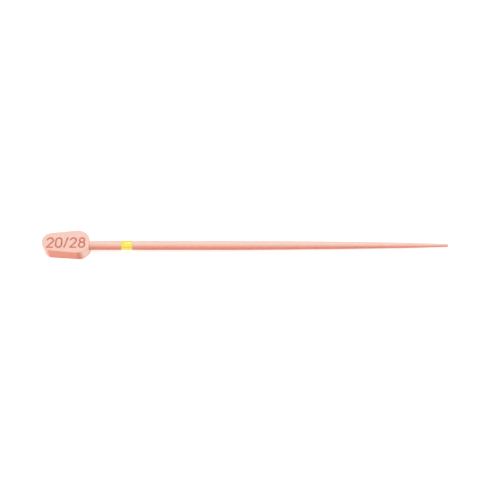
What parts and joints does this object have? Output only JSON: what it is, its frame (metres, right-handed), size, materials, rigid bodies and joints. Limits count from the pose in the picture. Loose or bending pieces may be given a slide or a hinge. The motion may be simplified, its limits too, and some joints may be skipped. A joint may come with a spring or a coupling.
{
  "type": "gutta-percha point",
  "caption": "Tapered gutta-percha root-canal filling point with a flat moulded marking tab, engraved size numerals and a yellow size band.",
  "frame": {"origin": "on the tab's lower face, under the middle of the overall length, on the rod's centre plane", "axes": "+X runs along the rod from the tab to the tip, +Z is the outward normal of the marked face"},
  "size_m": [0.028, 0.0018, 0.0011],
  "materials": {
    "gutta_percha": "satin",
    "tab_compound": "matte",
    "numeral_pigment": "matte",
    "band_lacquer": "satin"
  },
  "bodies": {
    "root": {"gutta_percha_point": "gutta_percha", "id_tab": "tab_compound", "numeral_ink": "numeral_pigment", "size_band": "band_lacquer"}
  },
  "joints": []
}
